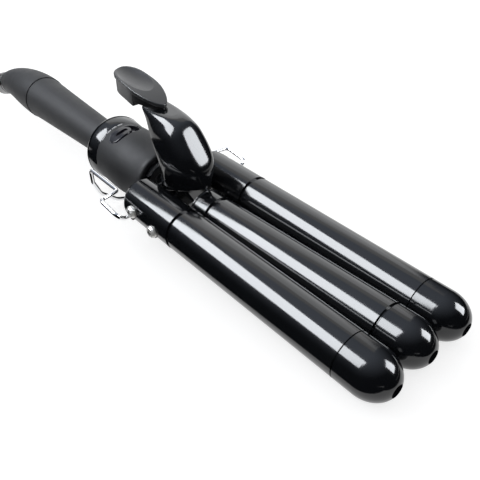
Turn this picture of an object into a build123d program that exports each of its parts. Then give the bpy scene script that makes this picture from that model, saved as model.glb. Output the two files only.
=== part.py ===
from build123d import *
from math import asin, atan2, cos, degrees, hypot, pi, radians, sin, tan
import os

# A triple-barrel hair waver. Two heated barrels are fixed to a fork on the front of the handle. A third
# lies between them and opens on a thumb lever, a torsion spring closes it, and a wire stand under the
# handle keeps the hot end off the table. A mains lead leaves the drooping rear end in a swivel.
#
# Lengths are millimetres. The tool is built with its barrels along +X, their front rings at x = 0 and
# the two outer barrel axes at z = 0. on_table then lays it down on its two outer tips and its stand,
# with z = 0 as the table. "left" is +Y, as held in the hand. Only the cord is drawn on the table.

# Barrels
barrel_radius = 12.5
barrel_wall = 1.2
barrel_length = 116.0
barrel_pitch = 26.1
middle_drop = 4.2
middle_rise = 1.95
middle_back = 0.5

# Heat-proof rings at the barrels' roots
ring_width = 2.4
ring_radius = 11.45
spigot_radius = 11.25
spigot_bore = 9.6
front_spigot = 8.0
rear_spigots = {"left": 16.0, "middle": 11.0, "right": 16.0}

# Tip caps
cap_length = 25.5
cap_straight = 11.4
cap_hole_radius = 3.5
cap_hole_depth = 8.5
cap_floor = 2.4
cap_seams = {"left": 0.3, "middle": 1.2, "right": 0.3}
cap_chamfer = 0.3
cap_screw_radius = 1.5
cap_screw_head = 2.8

# Heaters
heater_start = 14.0
spreader_end = 106.0
spreader_nose = 112.0
heater_slot = 2.4
heater_plate = (84.0, 15.0)
spreader_width = 17.0

# Holders, the sleeves that carry the barrels
holder_rear = -46.0
holder_radius = 12.6
holder_end_wall = 3.0
holder_cavity = 9.9
holder_step = -26.0
socket_bore = 11.3
sleeve_front = -3.5
sleeve_rear = -15.0
sleeve_lip = 13.0
pillar_radius = 3.5
lead_hole = (-40.0, 5.0, 2.2)

# Side screws: where they stand in the side view, and how far in they reach from the barrel's axis
side_screws = ((-35.2, 0.2, -13.0), (-15.2, -2.6, 9.8))
side_screw_shank = 1.2
side_screw_head = 3.7
side_screw_height = 2.8
side_screw_seat = 12.05
side_screw_boss = (4.1, 5.0)

# Fork that joins the holders to the handle
fork_inner = 12.6
fork_plate = 2.0
fork_top = 2.4
fork_bottom = -12.2
fork_front = -29.5
fork_web = (-55.6, -49.5, 2.0)
flange_radius = 17.3
flange_bore = 12.2
flange_width = 3.0
fork_screw_circle = 13.6
fork_screw = (0.9, 1.8, 1.2)
fork_screw_bite = 2.2

# Clamp hinge
hinge_x = -51.0
hinge_z = -4.0
pin_radius = 2.0
pin_clearance = 0.05
hub_radius = 4.6
hub_half = 12.2
cheek_inner = 5.2
cheek_outer = 7.0
cheek_eye = 5.4
spring_wire = 0.75
spring_turns = 4.25
spring_pitch = 1.65
spring_leg = 8.4

# Lever: each station is a line across the shell in the side view, from its open rim to its crest, as
# (rim x, rim z, half width at the rim, crest x, crest z, shoulder), from its flat top down to the sleeve.
# The shoulder is the share of the width and of the depth at which a section turns its corner.
lever_stations = (
    (-65.4, 46.8, 7.6, -37.4, 47.1, 0.79),
    (-57.4, 41.2, 10.1, -30.4, 43.8, 0.76),
    (-48.7, 32.2, 13.2, -23.8, 39.4, 0.73),
    (-41.3, 20.6, 14.2, -13.2, 25.7, 0.73),
    (-44.0, 5.0, 11.6, -13.4, 13.0, 0.73),
    (-46.0, -1.0, 11.2, -13.2, 6.0, 0.73),
)
lever_wall = 2.0
lever_lugs = (-36.0, -29.0, 1.5, 7.0)

# Thumb pad: an egg-shaped plate bent to an arc, on a base with a level bottom, with a hood at the rear.
# The outline is the right half of the plan, and the arc is a side view that runs on past both ends.
pad_outline = ((-98.6, 0.0), (-94.0, -7.1), (-82.0, -9.4), (-63.6, -8.0), (-51.9, 0.0))
pad_rear = (-101.0, 57.8)
pad_middle = (-75.3, 54.9)
pad_front = (-49.5, 48.5)
pad_bottom = 46.3
pad_plate = 2.4
pad_edge = 0.6
base_inset = 0.9
hood_front = -72.5
hood_inset = 0.8
hood_depth = 10.9
hood_wall = 2.0
pad_dish = (-80.0, 44.6, 18.9, 1.6)
dish_slope = -8.6

# Handle, turned about its own axis
handle_z = -4.9
housing_front = -57.8
housing_rear = -106.0
housing_wall = 2.2
housing_radii = (21.2, 21.6, 19.3)
housing_belly = -80.0
front_plate_thickness = 2.0
plate_hole = 4.65
core_radius = 4.6
core_wall = 1.2
core_front = -62.0
core_rear = -136.0
trim_radii = (13.2, 15.2)
trim_gap = 8.2
rail_end = -98.0
board_x = -82.0
board_size = (30.0, 26.0, 1.6)
collar_spigot = 6.4
collar_rim = -115.6
collar_lip = 1.3
collar_radius = 22.5
collar_groove = 0.5
collar_rear = -124.0
collar_wall = 2.2
grip_front = -119.0
grip_middle = -178.0
grip_rear = -222.0
grip_radii = (11.9, 14.3, 16.3)
grip_wall = 2.0
grip_flange = 14.5

# Rear cap: (x, z, radius, droop in degrees) of its round sections
tail_sections = (
    (-222.5, -4.9, 16.8, 0.0),
    (-246.0, -5.3, 15.9, 2.0),
    (-270.0, -8.0, 12.9, 11.0),
    (-288.5, -12.8, 10.2, 20.0),
)
tail_wall = 2.2
tail_end_wall = 3.0
cap_neck = (12.0, 13.9, 8.0)

# Cord swivel, along its own axis from the end of the rear cap
swivel_neck = 6.0
swivel_gap = 0.3
swivel_radius = 9.6
swivel_length = 24.0
swivel_bore = 4.0
clip_groove = (-4.6, -3.4, 5.0)
clip_radius = 8.0
relief_length = 38.0
relief_radii = (9.2, 4.4)
relief_ribs = 7
relief_socket = 6.0
cord_radius = 3.25

# Switch in its oval window, as an angle about the handle's axis, up from the right-hand side
switch_x = -95.6
window_angle = 79.5
window_half = (6.1, 11.8)
window_rim = 0.9
window_floor = 19.5
window_back = 17.8
window_face = 21.5
knob_angle = 71.0
knob_half = (4.8, 8.0)
knob_top = 22.2
knob_edge = 0.6
scoop_angle = 75.0
scoop_half = (1.5, 4.6)
scoop_depth = 1.1
stem_radius = 1.0
stem_slot_half = (1.3, 4.7)
lamp_place = (-95.8, 128.0)
lamp_radius = 1.6

# Wire stand, half of it, from its end in the left holder to the middle of its crossbar
wire_radius = 1.25
stand_x = -38.0
stand_z = -4.2
stand_inner_end = 30.0
stand_rear = -87.0
stand_bottom = -28.3
stand_half = (
    (stand_x, stand_inner_end, stand_z),
    (stand_x, 42.5, stand_z),
    (-34.0, 48.5, 1.5),
    (-52.5, 48.5, 3.5),
    (-55.0, 35.5, 3.4),
    (stand_rear, 35.5, 3.5),
    (stand_rear, 35.2, -6.0),
    (stand_rear, 31.0, -16.0),
    (stand_rear, 20.0, -25.2),
    (stand_rear, 11.0, stand_bottom),
)
stand_bends = (3, 3, 3, 3, 3, 3, 8, 8, 6, 6, 8, 8, 3, 3, 3, 3, 3, 3)

# Cord on the table, after its straight way out of the strain relief
cord_lead = 16.0
cord_route = (
    (-278.5, 0.0, 7.6),
    (-296.0, -1.6, 4.2),
    (-309.0, -6.0, 3.4),
    (-320.6, -12.7, 3.3),
)
coil_centre = (-320.0, -63.0)
coil_mid_radius = 37.5
coil_height = 19.3
coil_half_width = 9.75
coil_shoulder = (3.7, 13.0)
plug_body = (36.0, 26.0, 14.0)
plug_place = (-24.5, 34.0)
plug_boot = (6.2, 22.0, 5.0)
plug_pin_radius = 2.0
plug_pin_length = 19.0
plug_pin_pitch = 19.0

# Laid on the table, the tool touches it with its tips and the stand's crossbar. Both are round, so the
# tilt is that of the line that touches two circles.
tip_x = barrel_length + cap_straight
span = hypot(tip_x - stand_rear, stand_bottom)
tilt = degrees(atan2(-stand_bottom, tip_x - stand_rear) - asin((barrel_radius - wire_radius) / span))
dome_angle = degrees(asin(cap_hole_radius / barrel_radius))
dome_depth = (cap_length - cap_straight) / cos(radians(dome_angle))
tip_reach = hypot(barrel_radius * cos(radians(tilt)), dome_depth * sin(radians(tilt)))
lift = tip_x * sin(radians(tilt)) + tip_reach
forward = 104.1
on_table = Location((forward, 0, lift), (0, tilt, 0))

os.makedirs("parts", exist_ok=True)


def side_plane(x=0.0, y=0.0, z=0.0, rise=0.0):
    """An upright plane: its first axis runs forward, raised by rise degrees, and its second runs up."""
    forward_dir = (cos(radians(rise)), 0, sin(radians(rise)))
    return Plane(origin=(x, y, z), x_dir=forward_dir, z_dir=(0, -1, 0))


def cross_plane(x, y=0.0, z=0.0):
    """A plane across the tool that faces forward: first axis to the left, second up."""
    return Plane(origin=(x, y, z), x_dir=(0, 1, 0), z_dir=(1, 0, 0))


def skin_plane(x, angle):
    """A plane through the handle's axis that faces out at an angle up from the right-hand side."""
    out = (0, -cos(radians(angle)), sin(radians(angle)))
    return Plane(origin=(x, 0, handle_z), x_dir=(1, 0, 0), z_dir=out)


handle_plane = side_plane(z=handle_z)
handle_axis = Axis(handle_plane.origin, handle_plane.x_dir)
hinge_plane = side_plane(x=hinge_x, z=hinge_z)
barrel_planes = {
    "left": side_plane(y=barrel_pitch),
    "middle": side_plane(x=-middle_back, z=-middle_drop, rise=middle_rise),
    "right": side_plane(y=-barrel_pitch),
}

# ---- Barrels, each with its ring, its heater and its tip ----

hole_floor = barrel_length + cap_length - cap_hole_depth
screw_ways = {"left": 1, "right": -1}

for side, plane in barrel_planes.items():
    spin = Axis(plane.origin, plane.x_dir)
    heater_face = Plane(
        origin=plane.from_local_coords((heater_start, 0, 0)), x_dir=(0, 1, 0), z_dir=plane.x_dir
    )
    ring_back = -ring_width - rear_spigots[side]
    cap_back = barrel_length + cap_seams[side]

    # Barrel: a drawn aluminium tube, coated black.
    with BuildPart() as barrel:
        with BuildSketch(plane):
            with Locations((barrel_length / 2, barrel_radius - barrel_wall / 2)):
                Rectangle(barrel_length, barrel_wall)
        revolve(axis=spin)
    barrel.part.label = f"{side}_barrel"
    export_step(barrel.part.moved(on_table), f"parts/{side}_barrel.step")

    # Ring: a heat-proof spacer that plugs into the barrel and into the holder behind it.
    with BuildPart() as ring:
        with BuildSketch(plane):
            with BuildLine():
                Polyline(
                    (ring_back, spigot_bore),
                    (front_spigot, spigot_bore),
                    (front_spigot, spigot_radius),
                    (0, spigot_radius),
                    (0, ring_radius),
                    (-ring_width, ring_radius),
                    (-ring_width, spigot_radius),
                    (ring_back, spigot_radius),
                    close=True,
                )
            make_face()
        revolve(axis=spin)
        if side in screw_ways:
            with BuildSketch(side_plane(y=plane.origin.Y)):
                with Locations(side_screws[1][:2]):
                    Circle(side_screw_shank)
            extrude(amount=-holder_radius * screw_ways[side], mode=Mode.SUBTRACT)
    ring.part.label = f"{side}_ring"
    export_step(ring.part.moved(on_table), f"parts/{side}_ring.step")

    # Tip cap: a hollow moulded dome with a spigot, and a well in its nose for the screw.
    with BuildPart() as tip_cap:
        with BuildSketch(plane):
            with BuildLine():
                dome = EllipticalCenterArc(
                    (tip_x, 0), dome_depth, barrel_radius, dome_angle, arc_size=90 - dome_angle
                )
                Polyline(
                    dome @ 0,
                    (hole_floor, cap_hole_radius),
                    (hole_floor, cap_screw_radius),
                    (hole_floor - cap_floor, cap_screw_radius),
                    (hole_floor - cap_floor, cap_hole_radius + barrel_wall),
                    (tip_x, spigot_bore),
                    (barrel_length - front_spigot, spigot_bore),
                    (barrel_length - front_spigot, spigot_radius),
                    (cap_back, spigot_radius),
                    (cap_back, barrel_radius - cap_chamfer),
                    (cap_back + cap_chamfer, barrel_radius),
                    dome @ 1,
                )
            make_face()
        revolve(axis=spin)
    tip_cap.part.label = f"{side}_tip_cap"
    export_step(tip_cap.part.moved(on_table), f"parts/{side}_tip_cap.step")

    # Cap screw: draws the cap on to the nose of the heat spreader.
    with BuildPart() as cap_screw:
        with BuildSketch(plane):
            with BuildLine():
                Polyline(
                    (spreader_end, 0),
                    (spreader_end, cap_screw_radius),
                    (hole_floor, cap_screw_radius),
                    (hole_floor, cap_screw_head),
                    (hole_floor + 1.2, cap_screw_head),
                    (hole_floor + 2.0, cap_screw_head - 0.8),
                    (hole_floor + 2.0, 0),
                    close=True,
                )
            make_face()
        revolve(axis=spin)
    cap_screw.part.label = f"{side}_cap_screw"
    export_step(cap_screw.part.moved(on_table), f"parts/{side}_cap_screw.step")

    # Heat spreader: an aluminium bar that fills the barrel above and below, slotted for the heater.
    with BuildPart() as spreader:
        with BuildSketch(heater_face):
            Circle(barrel_radius - barrel_wall)
            Rectangle(spreader_width, 2 * barrel_radius, mode=Mode.INTERSECT)
            Rectangle(spreader_width, heater_slot, mode=Mode.SUBTRACT)
        extrude(amount=heater_plate[0] + 2)
        with BuildSketch(heater_face.offset(heater_plate[0] + 2)):
            Circle(spigot_bore - 0.2)
        extrude(amount=spreader_nose - heater_start - heater_plate[0] - 2)
        with BuildSketch(heater_face.offset(spreader_end - heater_start)):
            Circle(cap_screw_radius)
        extrude(amount=spreader_nose - spreader_end, mode=Mode.SUBTRACT)
    spreader.part.label = f"{side}_heat_spreader"
    export_step(spreader.part.moved(on_table), f"parts/{side}_heat_spreader.step")

    # Heater: a flat ceramic plate pinched in the spreader's slot.
    with BuildPart() as heater:
        with BuildSketch(heater_face.offset(2)):
            Rectangle(heater_plate[1], heater_slot)
        extrude(amount=heater_plate[0])
    heater.part.label = f"{side}_heater"
    export_step(heater.part.moved(on_table), f"parts/{side}_heater.step")

# ---- Holders ----

fork_outer = fork_inner + fork_plate
screw_seat = barrel_pitch + side_screw_seat
left_plane = barrel_planes["left"]

# Left holder: a moulded sleeve, flat where it seats on the fork, with pillars inside for the front
# screw and for the stand's end.
with BuildPart() as left_holder:
    with BuildSketch(left_plane):
        with BuildLine():
            Polyline(
                (holder_rear, 0),
                (holder_rear, holder_radius - 2.5),
                (holder_rear + 0.8, holder_radius - 0.8),
                (holder_rear + 2.5, holder_radius),
                (-ring_width, holder_radius),
                (-ring_width, 0),
                close=True,
            )
        make_face()
    revolve(axis=Axis(left_plane.origin, left_plane.x_dir))
    with BuildSketch(side_plane(y=screw_seat)) as bosses:
        with Locations(*(place[:2] for place in side_screws)):
            Circle(side_screw_boss[0])
    extrude(amount=-2, mode=Mode.SUBTRACT)
    extrude(bosses.sketch, amount=side_screw_boss[1])
    with BuildSketch(left_plane):
        with BuildLine():
            Polyline(
                (holder_rear + holder_end_wall, 0),
                (holder_rear + holder_end_wall, holder_cavity),
                (holder_step, holder_cavity),
                (holder_step, socket_bore),
                (-ring_width, socket_bore),
                (-ring_width, 0),
                close=True,
            )
        make_face()
    revolve(axis=Axis(left_plane.origin, left_plane.x_dir), mode=Mode.SUBTRACT)
    with BuildSketch(side_plane(y=fork_outer)):
        with Locations(side_screws[0][:2]):
            Circle(pillar_radius)
        with Locations((stand_x, stand_z)):
            Circle(pillar_radius - 0.5)
    extrude(amount=fork_outer - screw_seat + 0.3)
    with BuildSketch(side_plane(y=fork_outer)):
        with Locations((fork_front - 2 * holder_radius, 0)):
            Rectangle(4 * holder_radius, 4 * holder_radius)
    extrude(amount=fork_plate, mode=Mode.SUBTRACT)
    with BuildSketch(side_plane(y=fork_outer)):
        with Locations(side_screws[0][:2]):
            Circle(side_screw_shank)
    extrude(amount=-2 * holder_radius, mode=Mode.SUBTRACT)
    with BuildSketch(side_plane(y=barrel_pitch)):
        with Locations(side_screws[1][:2]):
            Circle(side_screw_shank)
    extrude(amount=-2 * holder_radius, mode=Mode.SUBTRACT)
    with BuildSketch(side_plane(y=stand_inner_end)):
        with Locations((stand_x, stand_z)):
            Circle(wire_radius + pin_clearance)
    extrude(amount=-2 * holder_radius, mode=Mode.SUBTRACT)
    with BuildSketch(side_plane(y=fork_outer)):
        with Locations(lead_hole[:2]):
            Circle(lead_hole[2])
    extrude(amount=-pillar_radius, mode=Mode.SUBTRACT)
left_holder.part.label = "left_holder"
export_step(left_holder.part.moved(on_table), "parts/left_holder.step")

# Right holder: its mirror image.
with BuildPart() as right_holder:
    mirror(left_holder.part, about=Plane.XZ)
right_holder.part.label = "right_holder"
export_step(right_holder.part.moved(on_table), "parts/right_holder.step")

# Holder screws: pan heads on spot faces. The rear pair bite into the fork, the front pair hold the rings.
with BuildPart() as holder_screws:
    for way in (1, -1):
        for screw_x, screw_z, screw_end in side_screws:
            inner_end = screw_end - side_screw_seat
            head_plane = Plane(
                origin=(screw_x, way * screw_seat, screw_z), x_dir=(0, way, 0), z_dir=(1, 0, 0)
            )
            with BuildSketch(head_plane):
                with BuildLine():
                    Polyline(
                        (side_screw_height, 0),
                        (inner_end, 0),
                        (inner_end, side_screw_shank),
                        (0, side_screw_shank),
                        (0, side_screw_head),
                        (side_screw_height / 2, side_screw_head),
                        (side_screw_height - 0.4, side_screw_head - 0.8),
                        (side_screw_height, side_screw_head - 2),
                        close=True,
                    )
                make_face()
            revolve(axis=Axis(head_plane.origin, head_plane.x_dir))
holder_screws.part.label = "holder_screws"
export_step(holder_screws.part.moved(on_table), "parts/holder_screws.step")

# Middle sleeve: a short cup behind the middle barrel, with a lip round its rear edge.
middle_plane = barrel_planes["middle"]
cup_floor = -ring_width - rear_spigots["middle"]
with BuildPart() as middle_sleeve:
    with BuildSketch(middle_plane):
        with BuildLine():
            Polyline(
                (cup_floor, pillar_radius),
                (sleeve_rear, pillar_radius),
                (sleeve_rear, sleeve_lip - 0.4),
                (sleeve_rear + 0.4, sleeve_lip),
                (sleeve_rear + 1.0, sleeve_lip),
                (sleeve_rear + 1.6, barrel_radius),
                (sleeve_front, barrel_radius),
                (sleeve_front, socket_bore),
                (cup_floor, socket_bore),
                close=True,
            )
        make_face()
    revolve(axis=Axis(middle_plane.origin, middle_plane.x_dir))
middle_sleeve.part.label = "middle_sleeve"
export_step(middle_sleeve.part.moved(on_table), "parts/middle_sleeve.step")

# ---- Fork ----

flange_rear = housing_front - flange_width
plate_rear = flange_rear - front_plate_thickness

# Fork: a flange in the housing's mouth, two side plates and a web under the hinge.
with BuildPart() as fork:
    with BuildSketch(cross_plane(flange_rear, z=handle_z)):
        Circle(flange_radius)
        Circle(flange_bore, mode=Mode.SUBTRACT)
    extrude(amount=flange_width)
    with BuildSketch(cross_plane(flange_rear, z=handle_z)):
        with PolarLocations(fork_screw_circle, 4, start_angle=45):
            Circle(fork_screw[0])
    extrude(amount=fork_screw_bite, mode=Mode.SUBTRACT)
    for plate_face in (fork_outer, -fork_inner):
        with BuildSketch(side_plane(y=plate_face)):
            with BuildLine():
                Polyline(
                    (housing_front - 1, fork_top),
                    (housing_front - 1, fork_bottom),
                    (fork_front - 5, fork_bottom),
                    (fork_front, fork_bottom + 5),
                    (fork_front, fork_top - 2),
                    (fork_front - 2, fork_top),
                    close=True,
                )
            make_face()
            with Locations((hinge_x, hinge_z)):
                Circle(pin_radius, mode=Mode.SUBTRACT)
            with Locations(side_screws[0][:2]):
                Circle(side_screw_shank, mode=Mode.SUBTRACT)
        extrude(amount=fork_plate)
    with BuildSketch(side_plane(y=fork_inner)):
        with BuildLine():
            Polyline(
                (fork_web[0], fork_bottom),
                (fork_web[1], fork_bottom),
                (fork_web[1], fork_bottom + fork_web[2]),
                (fork_web[0], fork_bottom + fork_web[2]),
                close=True,
            )
        make_face()
    extrude(amount=2 * fork_inner)
fork.part.label = "fork"
export_step(fork.part.moved(on_table), "parts/fork.step")

# Fork screws: four from behind, through the front plate into the flange.
with BuildPart() as fork_screws:
    with BuildSketch(cross_plane(plate_rear, z=handle_z)):
        with PolarLocations(fork_screw_circle, 4, start_angle=45):
            Circle(fork_screw[0])
    extrude(amount=front_plate_thickness + fork_screw_bite)
    with BuildSketch(cross_plane(plate_rear, z=handle_z)):
        with PolarLocations(fork_screw_circle, 4, start_angle=45):
            Circle(fork_screw[1])
    extrude(amount=-fork_screw[2])
fork_screws.part.label = "fork_screws"
export_step(fork_screws.part.moved(on_table), "parts/fork_screws.step")

# ---- Clamp ----

# Hinge pin: a steel pin fast in the fork, headed at both ends.
with BuildPart() as hinge_pin:
    with BuildSketch(Plane(hinge_plane.origin, x_dir=(0, 1, 0), z_dir=(1, 0, 0))):
        with BuildLine():
            Polyline(
                (-fork_outer - 1.6, 0),
                (-fork_outer - 1.6, pin_radius + 0.4),
                (-fork_outer - 0.8, pin_radius + 1.2),
                (-fork_outer, pin_radius + 1.2),
                (-fork_outer, pin_radius),
                (fork_outer, pin_radius),
                (fork_outer, pin_radius + 1.2),
                (fork_outer + 0.8, pin_radius + 1.2),
                (fork_outer + 1.6, pin_radius + 0.4),
                (fork_outer + 1.6, 0),
                close=True,
            )
        make_face()
    revolve(axis=Axis(hinge_plane.origin, (0, 1, 0)))
hinge_pin.part.label = "hinge_pin"
export_step(hinge_pin.part.moved(on_table), "parts/hinge_pin.step")

# Clamp arm: two cheeks on a hub, a round plate behind the middle sleeve, and a bar for the spring.
arm_plate = 2.0
arm_plate_radius = 9.5
arm_front = sleeve_rear - 1.3
sleeve_back_plane = Plane(
    middle_plane.from_local_coords((sleeve_rear, 0, 0)), x_dir=(0, 1, 0), z_dir=middle_plane.x_dir
)
spring_radius = hub_radius + 0.05 + spring_wire
leg_floor = hinge_z + spring_radius - spring_wire
lug_x = (lever_lugs[0] + lever_lugs[1]) / 2
lug_z = (lever_lugs[2] + lever_lugs[3]) / 2
lug_bite = 1.5
with BuildPart() as clamp_arm:
    with BuildSketch(Plane(hinge_plane.origin, x_dir=(1, 0, 0), z_dir=(0, -1, 0)).offset(-hub_half)):
        Circle(hub_radius)
    extrude(amount=2 * hub_half)
    for cheek_face in (cheek_outer, -cheek_inner):
        with BuildSketch(side_plane(y=cheek_face)):
            with BuildLine():
                Polyline(
                    (hinge_x, hinge_z - cheek_eye),
                    (arm_front, -13.0),
                    (arm_front, 0.0),
                    (-31.0, 6.5),
                    (-40.0, 6.5),
                    (hinge_x, hinge_z + cheek_eye),
                    close=True,
                )
            make_face()
            with Locations((hinge_x, hinge_z)):
                Circle(cheek_eye)
            with Locations((lug_x, lug_z)):
                Circle(side_screw_shank, mode=Mode.SUBTRACT)
        extrude(amount=cheek_outer - cheek_inner)
    with BuildSketch(sleeve_back_plane):
        Circle(arm_plate_radius)
        Circle(pillar_radius, mode=Mode.SUBTRACT)
    extrude(amount=-arm_plate)
    with BuildSketch(side_plane(y=cheek_inner)):
        with Locations((hinge_x + 7.0, leg_floor - 0.8)):
            Rectangle(2.0, 1.6)
    extrude(amount=2 * cheek_inner)
    with BuildSketch(Plane(hinge_plane.origin, x_dir=(1, 0, 0), z_dir=(0, -1, 0)).offset(-hub_half)):
        Circle(pin_radius + pin_clearance)
    extrude(amount=2 * hub_half, mode=Mode.SUBTRACT)
clamp_arm.part.label = "clamp_arm"
export_step(clamp_arm.part.moved(on_table), "parts/clamp_arm.step")

# Clamp spring: a torsion spring on the hub. Its front leg lies on the arm's bar and presses it down, and
# its rear leg hooks behind the fork's web. It is wound about local Z, from the top of the hub.
spring_length = spring_turns * spring_pitch
spring_place = Plane((hinge_x, spring_length / 2, hinge_z), x_dir=(0, 0, 1), z_dir=(0, -1, 0)).location
with BuildPart() as clamp_spring:
    with BuildLine():
        coil = Helix(pitch=spring_pitch, height=spring_length, radius=spring_radius)
        front_leg = Line(coil @ 0 - (coil % 0) * spring_leg, coil @ 0)
        Line(coil @ 1, coil @ 1 + (coil % 1) * spring_leg)
    with BuildSketch(Plane(front_leg @ 0, z_dir=front_leg % 0)):
        Circle(spring_wire)
    sweep()
clamp_spring.part.label = "clamp_spring"
export_step(clamp_spring.part.moved(on_table * spring_place), "parts/clamp_spring.step")


def lever_section(station, wall, open_by):
    """One cross-section of the lever, taken in by its wall and drawn out past its open rim."""
    rim_x, rim_z, half_width, crest_x, crest_z, shoulder = station
    across = Vector(crest_x - rim_x, 0, crest_z - rim_z)
    depth = across.length - wall
    width = half_width - wall
    plane = Plane((rim_x, 0, rim_z), x_dir=(0, 1, 0), z_dir=Vector(0, 1, 0).cross(across))
    with BuildSketch(plane) as section:
        with BuildLine():
            Spline(
                (width, 0),
                (shoulder * width, shoulder * depth),
                (0, depth),
                (-shoulder * width, shoulder * depth),
                (-width, 0),
                tangents=((0, 1), (0, -1)),
            )
            Polyline((-width, 0), (-width, -open_by), (width, -open_by), (width, 0))
        make_face()
    return section.sketch


def between(low, high, share):
    """The station that lies a share of the way from one station to the next."""
    return tuple(a + (b - a) * share for a, b in zip(low, high))


# The cavity starts a wall's thickness under the top, and runs out past the bottom.
cavity_stations = (
    between(lever_stations[0], lever_stations[1], 0.5),
    *lever_stations[1:],
    between(lever_stations[-2], lever_stations[-1], 1.4),
)
with BuildPart() as lever_cavity:
    loft(sections=[lever_section(station, lever_wall, 2.0) for station in cavity_stations])
    for lug_face in (hub_half + 3, -cheek_outer):
        with BuildSketch(side_plane(y=lug_face)):
            with BuildLine():
                Polyline(
                    (lever_lugs[0], lever_lugs[2]),
                    (lever_lugs[1], lever_lugs[2]),
                    (lever_lugs[1], lever_lugs[3]),
                    (lever_lugs[0], lever_lugs[3]),
                    close=True,
                )
            make_face()
        extrude(amount=hub_half + 3 - cheek_outer, mode=Mode.SUBTRACT)
    with BuildSketch(side_plane(y=cheek_outer + lug_bite)):
        with Locations((lug_x, lug_z)):
            Circle(side_screw_shank)
    extrude(amount=2 * (cheek_outer + lug_bite))

pad_top = pad_rear[1] + 2
pad_half_length = (pad_outline[-1][0] - pad_outline[0][0]) / 2
pad_half_width = -pad_outline[2][1]
pad_centre = pad_outline[0][0] + pad_half_length
other_side = [(x, -y) for x, y in reversed(pad_outline[1:-1])]


def pad_plan(inset):
    """The pad's outline from above, over its top, taken in by an inset."""
    along = 1 - inset / pad_half_length
    across = 1 - inset / pad_half_width
    rim = [(pad_centre + (x - pad_centre) * along, y * across) for x, y in (*pad_outline, *other_side)]
    with BuildSketch(Plane.XY.offset(pad_top)) as plan:
        with BuildLine():
            Spline(*rim, periodic=True)
        make_face()
    return plan.sketch


def pad_region(drop):
    """The side view of all that lies under the pad's arc, lowered by drop."""
    with BuildSketch(side_plane(y=pad_top / 2)) as region:
        with BuildLine():
            arc = ThreePointArc(
                (pad_rear[0], pad_rear[1] - drop),
                (pad_middle[0], pad_middle[1] - drop),
                (pad_front[0], pad_front[1] - drop),
            )
            Polyline(arc @ 1, (pad_front[0], 0), (pad_rear[0], 0), arc @ 0)
        make_face()
    return region.sketch


# What the pad's base takes up above the lever.
with BuildPart() as pad_space:
    extrude(pad_plan(0), amount=pad_bottom - pad_top)

# Lever: a curved hollow shell, open behind, with two lugs that are screwed to the arm's cheeks. Its foot
# is cut to sit on the middle sleeve's lip, and its top to carry the pad's base.
with BuildPart() as lever_shell:
    loft(sections=[lever_section(station, 0, 0.5) for station in lever_stations])
    add(lever_cavity.part, mode=Mode.SUBTRACT)
    add(pad_space.part, mode=Mode.SUBTRACT)
    with BuildSketch(sleeve_back_plane):
        Circle(sleeve_lip)
    extrude(amount=-sleeve_rear, mode=Mode.SUBTRACT)
lever_shell.part.label = "lever_shell"
export_step(lever_shell.part.moved(on_table), "parts/lever_shell.step")

# Lever screws: one through each cheek into its lug.
with BuildPart() as lever_screws:
    for way in (1, -1):
        head_plane = Plane((lug_x, way * cheek_inner, lug_z), x_dir=(1, 0, 0), z_dir=(0, way, 0))
        with BuildSketch(head_plane):
            Circle(side_screw_shank)
        extrude(amount=cheek_outer - cheek_inner + lug_bite)
        with BuildSketch(head_plane):
            Circle(2 * side_screw_shank)
        extrude(amount=-1.4)
lever_screws.part.label = "lever_screws"
export_step(lever_screws.part.moved(on_table), "parts/lever_screws.step")

# ---- Thumb pad ----

# Pad base: the wedge between the pad's arc and the lever's flat top.
with BuildPart() as pad_base:
    extrude(pad_plan(base_inset), amount=pad_bottom - pad_top)
    extrude(pad_region(pad_plate), amount=pad_top, mode=Mode.INTERSECT)
    with BuildSketch(Plane.XY.offset(pad_top)):
        with Locations((hood_front, 0)):
            Rectangle(pad_top, pad_top, align=(Align.MAX, Align.CENTER))
    extrude(amount=-pad_top, mode=Mode.SUBTRACT)
pad_base.part.label = "pad_base"
export_step(pad_base.part.moved(on_table), "parts/pad_base.step")

# The hood under the pad's rear half is hollow, and open below.
with BuildPart() as hood_hollow:
    extrude(pad_plan(hood_inset + hood_wall), amount=-pad_top / 2)
    with BuildSketch(Plane.XY.offset(pad_top)):
        with Locations((hood_front - hood_wall, 0)):
            Rectangle(pad_top, pad_top, align=(Align.MIN, Align.CENTER))
    extrude(amount=-pad_top, mode=Mode.SUBTRACT)
with BuildPart() as pad_hood:
    extrude(pad_plan(hood_inset), amount=-pad_top / 2)
    with BuildSketch(Plane.XY.offset(pad_top)):
        with Locations((hood_front, 0)):
            Rectangle(pad_top, pad_top, align=(Align.MIN, Align.CENTER))
    extrude(amount=-pad_top, mode=Mode.SUBTRACT)
    add(hood_hollow.part, mode=Mode.SUBTRACT)
    extrude(pad_region(pad_plate / 2), amount=pad_top, mode=Mode.INTERSECT)
    extrude(pad_region(hood_depth), amount=pad_top, mode=Mode.SUBTRACT)

# Thumb pad: the arched plate, dished where the thumb presses, with its hood.
dish_x, dish_long, dish_round, dish_depth = pad_dish
dish_plane = side_plane(x=dish_x, z=pad_middle[1] + 0.7 + dish_round - dish_depth, rise=dish_slope)
with BuildPart() as thumb_pad:
    extrude(pad_plan(0), amount=-pad_top / 2)
    extrude(pad_region(0), amount=pad_top, mode=Mode.INTERSECT)
    extrude(pad_region(pad_plate), amount=pad_top, mode=Mode.SUBTRACT)
    fillet(thumb_pad.edges(), radius=pad_edge)
    add(pad_hood.part)
    with BuildSketch(dish_plane):
        with BuildLine():
            bowl = EllipticalCenterArc((0, 0), dish_long, dish_round, 180, arc_size=180)
            Line(bowl @ 1, bowl @ 0)
        make_face()
    revolve(axis=Axis(dish_plane.origin, dish_plane.x_dir), mode=Mode.SUBTRACT)
thumb_pad.part.label = "thumb_pad"
export_step(thumb_pad.part.moved(on_table), "parts/thumb_pad.step")

# ---- Handle ----

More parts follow.
